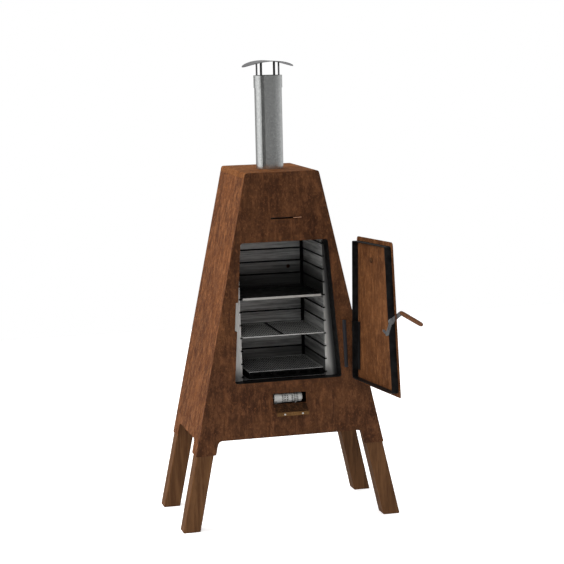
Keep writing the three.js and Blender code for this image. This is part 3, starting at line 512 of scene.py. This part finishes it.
# Streaked metals: the stretch says which way the streaks run, the last number how metallic.
FACE_STEEL = streaked_metal("face_steel", (0.62, 0.61, 0.58), (0.5, 0.49, 0.47), 0.4,
                            (1, 1, 0.05), 60.0, 0.6)
BRIGHT = streaked_metal("bright_steel", (0.56, 0.56, 0.54), (0.44, 0.44, 0.42), 0.5,
                        (0.08, 1, 1), 120.0, 0.2)
LATCH_STEEL = streaked_metal("latch_steel", (0.22, 0.22, 0.22), (0.11, 0.11, 0.112), 0.42,
                             (1, 1, 0.2), 90.0, 0.5)
RIB_STEEL = streaked_metal("rib_steel", (0.022, 0.022, 0.026), (0.012, 0.012, 0.015), 0.6,
                           (1, 1, 0.05), 60.0, 0.1)
FLUE_ZINC = galvanised("flue_zinc", (0.64, 0.65, 0.63), (0.44, 0.45, 0.44), 190.0)
CAP_ZINC = galvanised("cap_zinc", (0.15, 0.15, 0.15), (0.09, 0.09, 0.09), 190.0)
LEG_TIMBER = timber("leg_timber", (0.110, 0.049, 0.018), (0.060, 0.025, 0.009))
GRIP_TIMBER = timber("grip_timber", (0.17, 0.075, 0.035), (0.09, 0.038, 0.018), (1, 0.15, 1), 110.0)
print("finishes made")

# %% [markdown]
# ## Finishes on the frame
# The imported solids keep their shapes. Each one takes its finish by name from one table, so it is
# easy to see which surface is which.

# %% Dress the frame
DRESS = [
    (RUST_FRONT_PAINTED_SHADE, "front_panel hinge_leaf flap_ear_left flap_ear_right"),
    (FLAP_DARK, "draft_flap flap_pin"),
    (FLAP_STRIP, "flap_pull"),
    (RUST_SIDE_PAINTED_LIGHT, "left_panel right_panel back_panel floor_panel"),
    (RUST_LID_PAINTED_LIGHT, "top_panel"),
    (RUST_DOOR, "door_panel door_liner"),
    (BLACK, "door_frame door_rim hinge_backing hinge_arm_upper hinge_arm_lower"),
    (WIRE_BLACK, "rack_left rack_right rack_rear charcoal_basket"),
    (LINER, "liner_left liner_right liner_back liner_ceiling liner_floor flue_spigot"
            " damper_rail_front damper_rail_rear tube_cradle"),
    (FACE_STEEL, "strike_plate"),
    (BRIGHT, "flap_screw_left flap_screw_right hinge_pin strike_pin tube_sleeve tube_cap"),
    (LATCH_STEEL, "latch_lever latch_bolt"),
    (RIB_STEEL, "hinge_rib"),
    (WARM_STEEL, "damper_plate"),
    (FLUE_ZINC, "flue_pipe flue_collar"),
    (CAP_ZINC, "flue_cap cap_post_front_left cap_post_front_right cap_post_rear_left cap_post_rear_right"),
]


def dress(piece, finish):
    if not piece.material_slots:
        piece.data.materials.append(finish)
    for place in piece.material_slots:
        place.material = finish


for finish, names in DRESS:
    for name in names.split():
        dress(nodes[name], finish)
print("dressed", sum(len(names.split()) for _, names in DRESS), "nodes")

# %% [markdown]
# ### Firebox face
# The plate between the black frame and the chamber is clean beside the chamber and carries painted
# shade where the frame keeps the light away. The distance to the opening's sloping edge, worked
# out from the plate's own coordinates, gives a mask that darkens it towards the frame.

# %% Face finish
LEFT_FADE, RIGHT_FADE = (0.001, 0.012), (0.004, 0.046)     # widths of the painted shade beside each jamb
FOOT_FADE = (0.640, 0.700)                                 # heights of the painted shade along the foot
# The dark colour of the painted shade beside the frame.
FACE_PAINTED_SHADE = (0.012, 0.012, 0.012, 1)


def face_finish():
    """Painted-shade mask: the opening's half width at a height, minus the distance from the middle, is
    how far in a place is, and the painted shade fades over a narrow strip on the left and a wide one on the
    right."""
    finish, tree, shader, here = start_finish("firebox_face", 0.25, 0.42)
    coat = grouped(tree, STREAKS, Vector=here, Stretch=(1, 1, 0.05), Scale=60.0,
                   Light=(0.62, 0.61, 0.585, 1), Dark=(0.50, 0.49, 0.47, 1))
    parts = add(tree, "ShaderNodeSeparateXYZ", {0: here}).outputs
    (foot_height, foot_half), (top_height, top_half) = OPEN_FOOT, OPEN_TOP
    slope = (top_half - foot_half) / (top_height - foot_height)
    half = maths(tree, "ADD", maths(tree, "MULTIPLY", parts["Z"], slope),
                 foot_half - slope * foot_height)
    inwards = maths(tree, "SUBTRACT", half, maths(tree, "ABSOLUTE", parts["X"], 0.0))
    right = ranged(tree, parts["X"], -0.02, 0.02)
    left_painted_shade = maths(tree, "MULTIPLY", ranged(tree, inwards, *LEFT_FADE, 0.9, 0.0),
                      maths(tree, "SUBTRACT", 1.0, right))
    right_painted_shade = maths(tree, "MULTIPLY", ranged(tree, inwards, *RIGHT_FADE, 0.96, 0.0), right)
    painted_shade = maths(tree, "ADD", left_painted_shade, right_painted_shade)
    low = ranged(tree, parts["Z"], *FOOT_FADE, 0.55, 0.0)
    both = maths(tree, "MAXIMUM", painted_shade, low)
    link(tree, mixed(tree, both, coat["Color"], FACE_PAINTED_SHADE), shader.inputs["Base Color"])
    return finish


dress(nodes["liner_face"], face_finish())
print("firebox face dressed")

# %% [markdown]
# ### Drip pan
# The pan is one dark pressing with a bare rolled edge along its front. A mask made from the pan's
# own Y coordinate picks out that edge, which is simpler than a second object and slides with it.

# %% Pan finish
PAN_EDGE = 0.0022           # depth of the bare rolled edge
EDGE_BLUR = 0.0004


def pan_finish():
    """The mask is one in front of the edge's depth and zero behind it."""
    finish, tree, shader, here = start_finish("pan_steel", 0.5, 0.4)
    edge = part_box("drip_pan")[0][1] + PAN_EDGE
    depth = add(tree, "ShaderNodeSeparateXYZ", {0: here}).outputs["Y"]
    mask = add(tree, "ShaderNodeMapRange", {
        "Value": depth, "From Min": edge - EDGE_BLUR, "From Max": edge + EDGE_BLUR,
        "To Min": 1.0, "To Max": 0.0}).outputs[0]
    mottle = noise(tree, here, 30.0, 4.0, 0.6)
    dark = mixed(tree, mottle, (0.008, 0.008, 0.008, 1), (0.022, 0.021, 0.02, 1))
    link(tree, mixed(tree, mask, dark, (0.52, 0.51, 0.48, 1)), shader.inputs["Base Color"])
    link(tree, ranged(tree, mottle, 0.3, 0.7, 0.35, 0.55), shader.inputs["Roughness"])
    return finish


dress(nodes["drip_pan"], pan_finish())
print("pan dressed")

# %% [markdown]
# ## Building surfaces from arrays
# The new pieces are worked out with numpy as whole arrays of points. `make_piece` puts points and
# faces into a mesh, `bars` lays any number of straight flat bars in one go, which is all that a
# grate needs, and `swept_faces` closes a form made of rows of points, such as a leg or a grip.

# %% Surface helpers
def make_piece(name, points, faces, finish, body, slot, smooth=False):
    """A mesh object at the origin from (n, 3) points and (m, k) faces, riding on a body."""
    mesh = bpy.data.meshes.new(name)
    mesh.from_pydata(np.asarray(points, float).tolist(), [], [list(map(int, f)) for f in faces])
    mesh.validate()
    mesh.update()
    mesh.polygons.foreach_set("use_smooth", [smooth] * len(mesh.polygons))
    mesh.materials.append(finish)
    piece = bpy.data.objects.new(name, mesh)
    scene.collection.objects.link(piece)
    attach(piece, body)
    print(name, "has", len(mesh.polygons), "faces")
    return piece


BOX_FACES = np.array([[0, 3, 2, 1], [4, 5, 6, 7], [0, 1, 5, 4], [1, 2, 6, 5], [2, 3, 7, 6],
                      [3, 0, 4, 7]])


def bars(starts, ends, width, height):
    """Flat level bars: each end's corners are the end point plus or minus half the width across
    the bar, at the point's height and that height plus the bar's thickness."""
    starts, ends = np.atleast_2d(starts).astype(float), np.atleast_2d(ends).astype(float)
    along = ends - starts
    side = np.stack([-along[:, 1], along[:, 0], np.zeros(len(along))], -1)
    side *= width / 2 / np.linalg.norm(side, axis=1, keepdims=True)
    lift = np.array([0, 0, height])
    ring = [starts + side, starts - side, ends - side, ends + side]
    corners = np.stack(ring + [p + lift for p in ring], 1)
    faces = BOX_FACES[None] + 8 * np.arange(len(starts))[:, None, None]
    return corners.reshape(-1, 3), faces.reshape(-1, 4)


def merge_sets(sets):
    """Joins (points, faces) sets into one, shifting each set's face numbers past the last."""
    shift, points, faces = 0, [], []
    for p, f in sets:
        points.append(p)
        faces.append(np.asarray(f) + shift)
        shift += len(p)
    return np.concatenate(points), [row for block in faces for row in block]


def row_quads(rows, cols):
    """Numbers the points row by row and joins each row to the next, the last column to the first."""
    number = np.arange(rows * cols).reshape(rows, cols)
    after = np.roll(number, -1, axis=1)
    quads = np.stack([number[:-1], after[:-1], after[1:], number[1:]], -1).reshape(-1, 4)
    return number, after, quads


def swept_faces(rows, cols):
    """The quads between rows, and one flat face to close each end."""
    number, _, quads = row_quads(rows, cols)
    return [*quads, number[0][::-1], number[-1]]


def face_outwards(piece):
    """Recalculates the normals of a closed piece, so that every face points out of it."""
    mesh = bmesh.new()
    mesh.from_mesh(piece.data)
    bmesh.ops.recalc_face_normals(mesh, faces=mesh.faces)
    mesh.to_mesh(piece.data)
    mesh.free()


print("surface helpers ready")

# %% [markdown]
# ## Grates
# A cooking grate is a frame filled with thin strips that run from front to back, tied by a few flat
# ties. Straight strips at an even pitch need no modelling by hand: one array of starts and one of
# ends gives them all. Each strip is a bright top over a narrower web coloured black as painted shade,
# so that the tops catch the light and the gaps stay dark. Two stouter bars under the food grate stop it
# sagging.

# %% Food grate and charcoal grate
GRATE_PITCH = 0.0098
GRATE_SHEET = 0.0005        # the bright top of each strip
WEB_DEPTH = 0.0042          # the web below it, black as painted shade
WEB_SHARE = 0.8             # the web's width as a share of the strip's
TIE_WIDTH = 0.0016
TIES = 7
RIM_HEIGHT = 0.004
STAY_DEPTH = 0.55           # how far back the bar across lies, as a share of the depth
STAY_ACROSS = (0.0100, 0.009, 0.0045)      # how far below the top, how wide and how thick
STAY_ALONG = (0.0016, 0.015, 0.0018)


def grate(name, node, body, slot, finish, strip, rim, stays):
    """Strips at x0 + rim + pitch * (k + 1/2) from front to back, ties that split the depth evenly,
    and four frame bars. The webs, black as painted shade, and the two bars below are pieces of their own."""
    (x0, y0, _), (x1, y1, top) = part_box(node)
    level = top - GRATE_SHEET
    xs = np.arange(x0 + rim + GRATE_PITCH / 2, x1 - rim, GRATE_PITCH)
    ys = np.linspace(y0, y1, TIES + 2)[1:-1]
    strip_a = np.stack([xs, np.full(len(xs), y0 + rim), np.full(len(xs), level)], -1)
    strip_b = np.stack([xs, np.full(len(xs), y1 - rim), np.full(len(xs), level)], -1)
    tie_a = np.stack([np.full(len(ys), x0 + rim), ys, np.full(len(ys), level - GRATE_SHEET)], -1)
    tie_b = np.stack([np.full(len(ys), x1 - rim), ys, np.full(len(ys), level - GRATE_SHEET)], -1)
    half = rim / 2
    rim_a = [(x0, y0 + half), (x0, y1 - half), (x0 + half, y0 + rim), (x1 - half, y0 + rim)]
    rim_b = [(x1, y0 + half), (x1, y1 - half), (x0 + half, y1 - rim), (x1 - half, y1 - rim)]
    rim_low = top - RIM_HEIGHT
    sets = [bars(strip_a, strip_b, strip, GRATE_SHEET), bars(tie_a, tie_b, TIE_WIDTH, GRATE_SHEET),
            bars([(*a, rim_low) for a in rim_a], [(*b, rim_low) for b in rim_b], rim, RIM_HEIGHT)]
    piece = make_piece(name, *merge_sets(sets), finish, body, slot)
    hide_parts(node)
    drop = np.array([0, 0, WEB_DEPTH])
    # The webs are black as painted shade, so that the gaps between the bright tops stay dark.
    web = bars(strip_a - drop, strip_b - drop, strip * WEB_SHARE, WEB_DEPTH - GRATE_SHEET)
    make_piece(name + "_painted_shade_webs", *web, WIRE_BLACK, body, slot)
    if stays:
        middle_x, middle_y = (x0 + x1) / 2, y0 + STAY_DEPTH * (y1 - y0)
        (drop_a, wide_a, thick_a), (drop_b, wide_b, thick_b) = STAY_ACROSS, STAY_ALONG
        across = bars((x0 + rim, middle_y, top - drop_a), (x1 - rim, middle_y, top - drop_a),
                      wide_a, thick_a)
        along = bars((middle_x, y0 + rim, top - drop_b), (middle_x, y1 - rim, top - drop_b),
                     wide_b, thick_b)
        make_piece(name + "_bars", *merge_sets([across, along]), WIRE_BLACK, body, "black_wire")


GRATE_STEEL = streaked_metal("grate_steel", (0.46, 0.46, 0.445), (0.32, 0.32, 0.31), 0.45,
                             (0.2, 1, 1), 90.0, 0.1)
COAL_STEEL = streaked_metal("coal_grate_steel", (0.34, 0.34, 0.33), (0.18, 0.18, 0.18), 0.45,
                            (0.2, 1, 1), 90.0, 0.1)
grate("grate_mesh", "food_grate", "grate", "stainless", GRATE_STEEL, 0.0036, 0.006, stays=True)
grate("coal_mesh", "charcoal_grate", "basket", "black_wire", COAL_STEEL, 0.0032, 0.004, stays=False)

# %% [markdown]
# ## Perforated tube
# The tube behind the air window is a rolled sheet with rows of round holes. Each hole sits in a
# square cell: sixteen points round the cell's edge joined to sixteen round the hole. Wrapping the
# cells round the tube's axis and giving the sheet a thickness gives true holes, not painted dots.

# %% Perforated tube
TUBE_PITCH = 0.0108
CELLS_ROUND = 16            # how many cells go round the tube
CELL_POINTS = 16
HOLE_SHARE = 0.33           # the hole's radius as a share of its cell
TUBE_WALL = 0.0012
TUBE_INSET = 0.0001         # keeps the faceted sheet inside the solid's round
MERGE_WITHIN = 0.00005
TUBE_SOOT = (0.004, 0.004, 0.004, 1)
HOLE_BANDS = ((-0.038, -0.006), (0.0125, 0.047))      # where along the tube the holes are


def tube_steel(yc, zc, radius):
    """Bright outside, sooty inside: the distance from the tube's axis tells the two apart."""
    finish, tree, shader, here = start_finish("tube_steel", 0.2, 0.5)
    coat = grouped(tree, STREAKS, Vector=here, Stretch=(0.08, 1, 1), Scale=120.0,
                   Light=(0.60, 0.60, 0.58, 1), Dark=(0.46, 0.46, 0.44, 1))
    parts = add(tree, "ShaderNodeSeparateXYZ", {0: here}).outputs
    out = [maths(tree, "POWER", maths(tree, "SUBTRACT", parts[axis], middle), 2.0)
           for axis, middle in (("Y", yc), ("Z", zc))]
    away = maths(tree, "SQRT", maths(tree, "ADD", out[0], out[1]), 0.0)
    inside = ranged(tree, away, radius - TUBE_WALL, radius - TUBE_WALL / 2, 1.0, 0.0)
    link(tree, mixed(tree, inside, coat["Color"], TUBE_SOOT), shader.inputs["Base Color"])
    return finish


def perforated_tube():
    """Cell (i, j) covers one step along the axis and one step of angle. Its outer points follow
    the square's edge at sixteen angles, its inner points a circle, both mapped to the cylinder:
    x along the axis, and radius times cosine and sine of the angle for the other two."""
    (x0, y0, z0), (x1, y1, z1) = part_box("smoke_tube")
    radius, yc, zc = (z1 - z0) / 2, (y0 + y1) / 2, (z0 + z1) / 2
    along, around = round((x1 - x0) / TUBE_PITCH), CELLS_ROUND
    angle = 2 * np.pi * (np.arange(CELL_POINTS) + 0.5) / CELL_POINTS
    ring = np.stack([np.cos(angle), np.sin(angle)], -1)
    square = ring / np.abs(ring).max(axis=1, keepdims=True) * 0.5
    hole = ring * HOLE_SHARE
    i, j = np.meshgrid(np.arange(along), np.arange(around), indexing="ij")
    centre = np.stack([i + 0.5, j + 0.5], -1)[:, :, None, None]
    cell = centre + np.stack([square, hole])[None, None]
    turn_angle = 2 * np.pi * cell[..., 1] / around
    skin = radius - TUBE_INSET
    points = np.stack([x0 + (x1 - x0) * cell[..., 0] / along, yc + skin * np.cos(turn_angle),
                       zc + skin * np.sin(turn_angle)], -1).reshape(-1, 3)
    number = np.arange(points.shape[0]).reshape(along, around, 2, CELL_POINTS)
    nxt = np.roll(number, -1, axis=3)
    quads = np.stack([number[:, :, 0], nxt[:, :, 0], nxt[:, :, 1], number[:, :, 1]], -1).reshape(-1, 4)
    middle = x0 + (x1 - x0) * (np.arange(along) + 0.5) / along
    plain = ~np.any([(middle > low) & (middle < high) for low, high in HOLE_BANDS], axis=0)
    filled = number[plain][:, :, 1].reshape(-1, CELL_POINTS)
    piece = make_piece("perforated_tube", points, [*quads, *filled], tube_steel(yc, zc, radius),
                       "cabinet", "stainless")
    tidy = bmesh.new()
    tidy.from_mesh(piece.data)
    bmesh.ops.remove_doubles(tidy, verts=tidy.verts, dist=MERGE_WITHIN)
    bmesh.ops.recalc_face_normals(tidy, faces=tidy.faces)
    if sum(f.normal.dot(f.calc_center_median() - Vector((f.calc_center_median().x, yc, zc)))
           for f in tidy.faces) < 0:
        bmesh.ops.reverse_faces(tidy, faces=tidy.faces)
    tidy.to_mesh(piece.data)
    tidy.free()
    wall = piece.modifiers.new("wall", "SOLIDIFY")
    wall.thickness, wall.offset = TUBE_WALL, -1
    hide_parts("smoke_tube")


perforated_tube()

# %% [markdown]
# ## Timber legs
# Each leg is a square post that follows the slope of the side and the lean of the front. Sawn
# timber has softened edges, so the section is a square with rounded corners, carried in a straight
# line from the ground to inside the cabinet.

# %% Legs
LEG_WIDE, LEG_DEEP = 0.075, 0.074
LEG_ROUND = 0.0045
FOOT_BEVEL = (0.0015, 0.965)       # height of the foot's bevel, and its size at the ground


def rounded_square(size_x, size_y, radius, steps=5):
    """Four quarter circles, one for each corner, joined by the straight sides between them."""
    quarter = np.linspace(0, np.pi / 2, steps)
    corners = []
    for k, (cx, cy) in enumerate(((1, 1), (-1, 1), (-1, -1), (1, -1))):
        a = quarter + k * np.pi / 2
        corners.append(np.stack([cx * (size_x / 2 - radius) + radius * np.cos(a),
                                 cy * (size_y / 2 - radius) + radius * np.sin(a)], -1))
    return np.concatenate(corners)


def leg(name, node, side, at_back):
    """The section at height z is centred half a leg in from the side panel and from the front or
    back panel. The whole post is section plus centre(z) for a few heights, closed at both ends."""
    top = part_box(node)[1][2]
    section = rounded_square(LEG_WIDE, LEG_DEEP, LEG_ROUND)
    heights = np.array([0.0, FOOT_BEVEL[0], 0.1, 0.2, 0.3, top])
    shrink = np.array([FOOT_BEVEL[1], 1, 1, 1, 1, 1])
    x = side * (half_width(heights) - SHEET / math.cos(side_lean) - GAP - LEG_WIDE / 2)
    ahead = front_y(heights) + SHEET / math.cos(lean) + GAP + LEG_DEEP / 2
    y = np.full(len(heights), back_face - SHEET - GAP - LEG_DEEP / 2) if at_back else ahead
    rings = section[None] * shrink[:, None, None] + np.stack([x, y], -1)[:, None]
    level = np.broadcast_to(heights[:, None, None], (*rings.shape[:2], 1))
    points = np.concatenate([rings, level], -1).reshape(-1, 3)
    piece = make_piece(name, points, swept_faces(*rings.shape[:2]), LEG_TIMBER, "cabinet", "timber")
    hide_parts(node)


for side_name, side in (("left", -1), ("right", 1)):
    for end_name, at_back in (("front", False), ("rear", True)):
        leg(f"post_{end_name}_{side_name}", f"{end_name}_{side_name}_leg", side, at_back)

# %% [markdown]
# ## Turned grip
# The grip is a short turned handle: a profile of radii along its axis, swept round it. Its place
# comes from the latch's own frame, which leans with the door's free edge and swings with the door.

# %% Grip
LATCH_DEPTH, LATCH_HEIGHT = 0.012, 0.928
GRIP_FROM = np.array([-0.0003, -0.039, 0.036])       # the two ends, in the latch's own frame
GRIP_TO = np.array([-0.0003, -0.137, -0.0255])
GRIP_RADIUS = 0.0096
GRIP_STEPS = 28
edge_slope = (OPEN_FOOT[1] - OPEN_TOP[1]) / (OPEN_TOP[0] - OPEN_FOOT[0])
edge_lean = math.atan(edge_slope)
edge_half = OPEN_FOOT[1] - edge_slope * (LATCH_HEIGHT - OPEN_FOOT[0])


def latch_point(p):
    """Turns latch coordinates (across the lever, depth, along the edge) by the edge's lean, moves
    them to the pivot on the free edge, and opens the door."""
    c, s = math.cos(edge_lean), math.sin(edge_lean)
    across = -edge_half + c * p[..., 0] + s * p[..., 2]
    height = LATCH_HEIGHT - s * p[..., 0] + c * p[..., 2]
    return door_point(across, LATCH_DEPTH + p[..., 1], height)


def turned_grip():
    """Radius along the axis: the square root of one minus a high power of the distance from the
    middle, which rounds the ends, times a slight swell. The point at (t, angle) is the axis point
    at t plus the radius times the cosine and sine of the angle along two directions across it."""
    axis = GRIP_TO - GRIP_FROM
    t = np.concatenate([[0, 0.008, 0.03, 0.07], np.linspace(0.14, 0.86, 9), [0.93, 0.97, 0.992, 1]])
    ends = np.sqrt(np.clip(1 - np.abs(2 * t - 1) ** 14, 0.12, 1))
    radius = GRIP_RADIUS * ends * (0.95 + 0.05 * np.sin(np.pi * t))
    across = np.array([1.0, 0, 0])
    other = np.cross(axis / np.linalg.norm(axis), across)
    angle = np.linspace(0, 2 * np.pi, GRIP_STEPS, endpoint=False)
    around = np.cos(angle)[:, None] * across + np.sin(angle)[:, None] * other
    local = GRIP_FROM + t[:, None, None] * axis + radius[:, None, None] * around[None]
    piece = make_piece("turned_grip", latch_point(local).reshape(-1, 3), swept_faces(len(t), GRIP_STEPS),
                       GRIP_TIMBER, "latch", "grip_wood", smooth=True)
    face_outwards(piece)
    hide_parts("handle_grip")


turned_grip()

# %% [markdown]
# ## Thermometer socket
# The hole high in the door holds a short round socket with a flange on each side of the door. It
# is a solid of revolution: a profile of depths and radii turned about the middle of the hole, closed at both
# ends and dark, as painted shade in the hole.

# %% Socket
SOCKET_AT = (0.025, 1.159)           # across and height of its middle on the shut door
SOCKET_STEPS = 32
SOCKET = ((-0.0105, 0.0125), (-0.0085, 0.0125), (-0.0085, 0.0092), (-0.0028, 0.0092),
          (-0.0028, 0.0118), (0.0035, 0.0105))       # depth and radius


def gauge_socket():
    """Across = middle + radius * cos(angle), height = middle + radius * sin(angle), at each depth
    of the profile, with a point on the axis to close each end."""
    angle = 2 * np.pi * np.arange(SOCKET_STEPS) / SOCKET_STEPS
    depth, radius = np.array(SOCKET).T
    across = SOCKET_AT[0] + radius[:, None] * np.cos(angle)
    height = SOCKET_AT[1] + radius[:, None] * np.sin(angle)
    rings = door_point(across, depth[:, None], height).reshape(-1, 3)
    ends = door_point(np.full(2, SOCKET_AT[0]), depth[[0, -1]], np.full(2, SOCKET_AT[1]))
    number, after, quads = row_quads(len(depth), SOCKET_STEPS)
    first = np.stack([np.full(SOCKET_STEPS, len(rings)), after[0], number[0]], -1)
    last = np.stack([np.full(SOCKET_STEPS, len(rings) + 1), number[-1], after[-1]], -1)
    # The closed dark ends stand in for the shade inside the hole: painted shade.
    piece = make_piece("gauge_socket", np.concatenate([rings, ends]), [*quads, *first, *last],
                       FLAP_DARK, "door", "rust_steel")
    face_outwards(piece)


gauge_socket()

# %% [markdown]
# ## The end

# %% The end
print("done")
